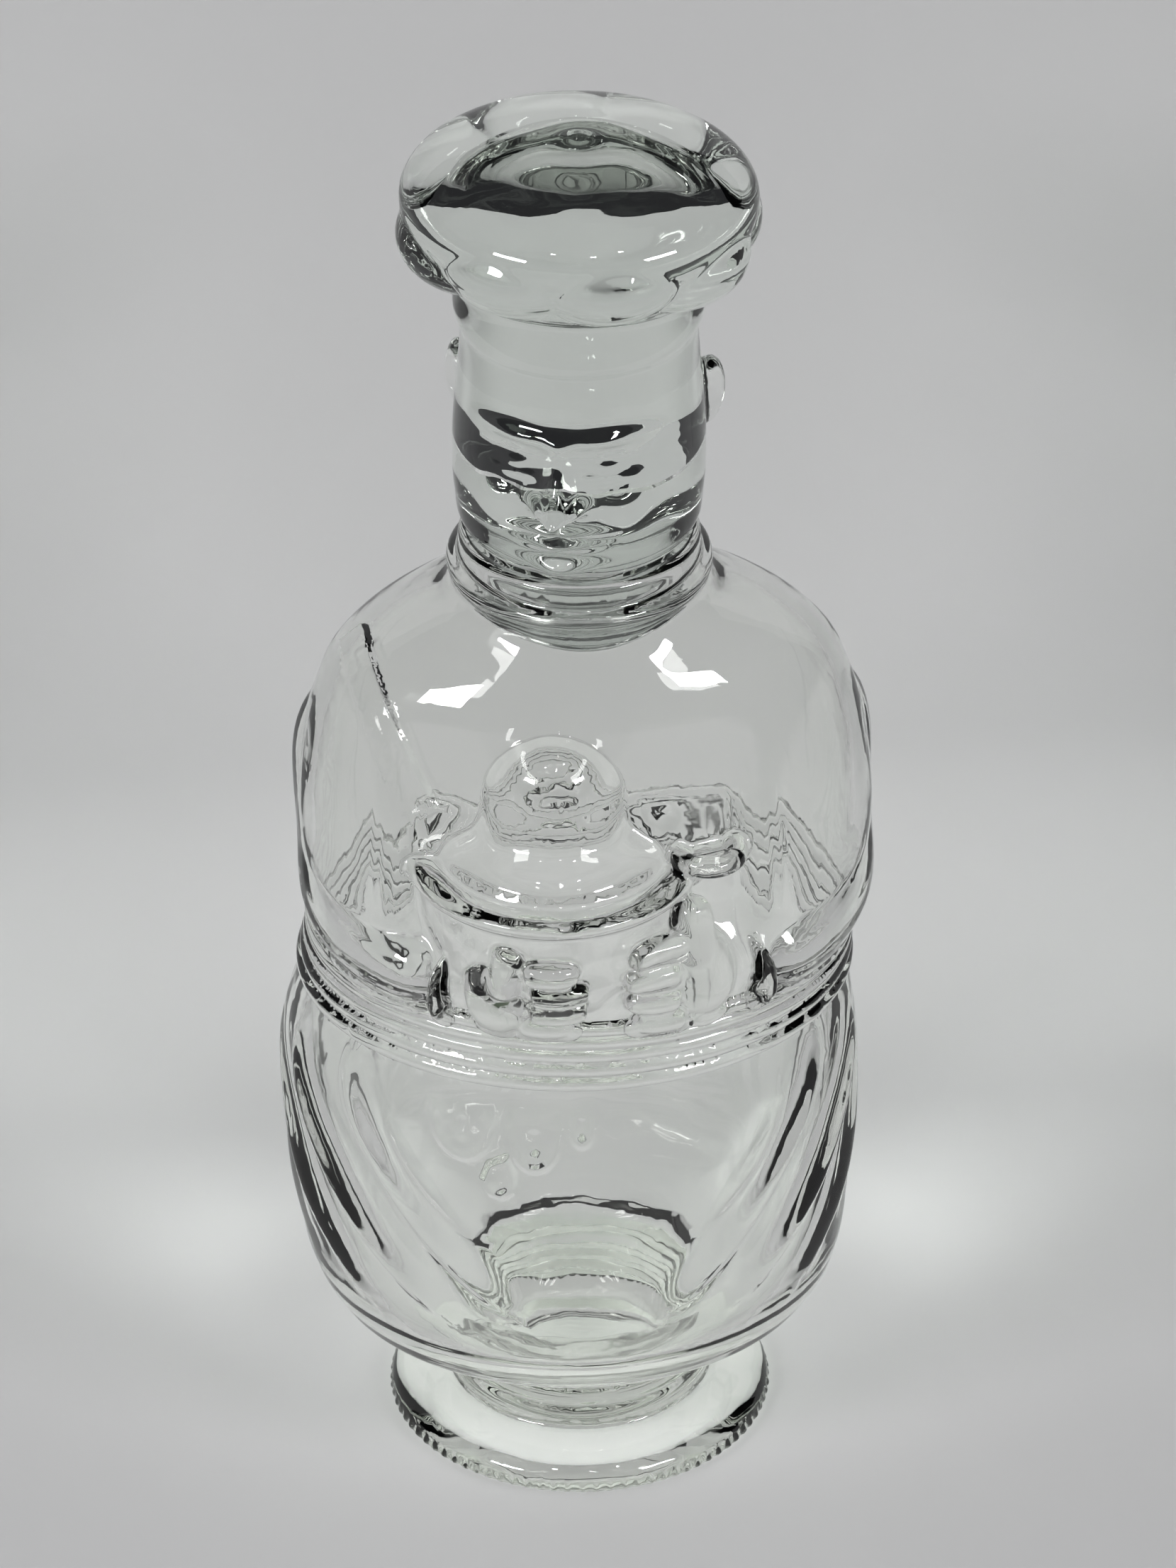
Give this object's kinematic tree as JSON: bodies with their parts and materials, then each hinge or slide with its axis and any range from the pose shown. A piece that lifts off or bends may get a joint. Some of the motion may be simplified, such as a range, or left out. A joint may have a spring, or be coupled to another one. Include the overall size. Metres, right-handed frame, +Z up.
{
  "type": "figural decanter",
  "caption": "Clear glass decanter shaped as a chef holding a covered tureen, on a round foot, with a solid glass head and hat as lift-out stopper in a ribbed seal.",
  "frame": {"origin": "centre of the foot's bearing face, on the surface it stands on", "axes": "+Z up through the neck, the figure faces -Y, +X to the figure's left"},
  "size_m": [0.1076, 0.0944, 0.266],
  "materials": {
    "bottle_glass": "clear mould-blown glass with a faint grey-green cast",
    "head_glass": "clear solid pressed glass with a faint green cast in the thick parts",
    "seal_plastic": "clear natural polyethylene"
  },
  "bodies": {
    "bottle": {"bottle": "bottle_glass"},
    "seal": {"stopper_seal": "seal_plastic"},
    "head": {"stopper_head": "head_glass"}
  },
  "joints": [
    {"name": "stopper_lift", "type": "slide", "parent": "bottle", "child": "seal", "axis": [0, 0, 1], "range_m": [0, 0.03]},
    {"name": "head_turn", "type": "hinge", "parent": "seal", "child": "head", "pos_m": [0, 0, 0.18], "axis": [0, 0, 1], "continuous": true}
  ]
}
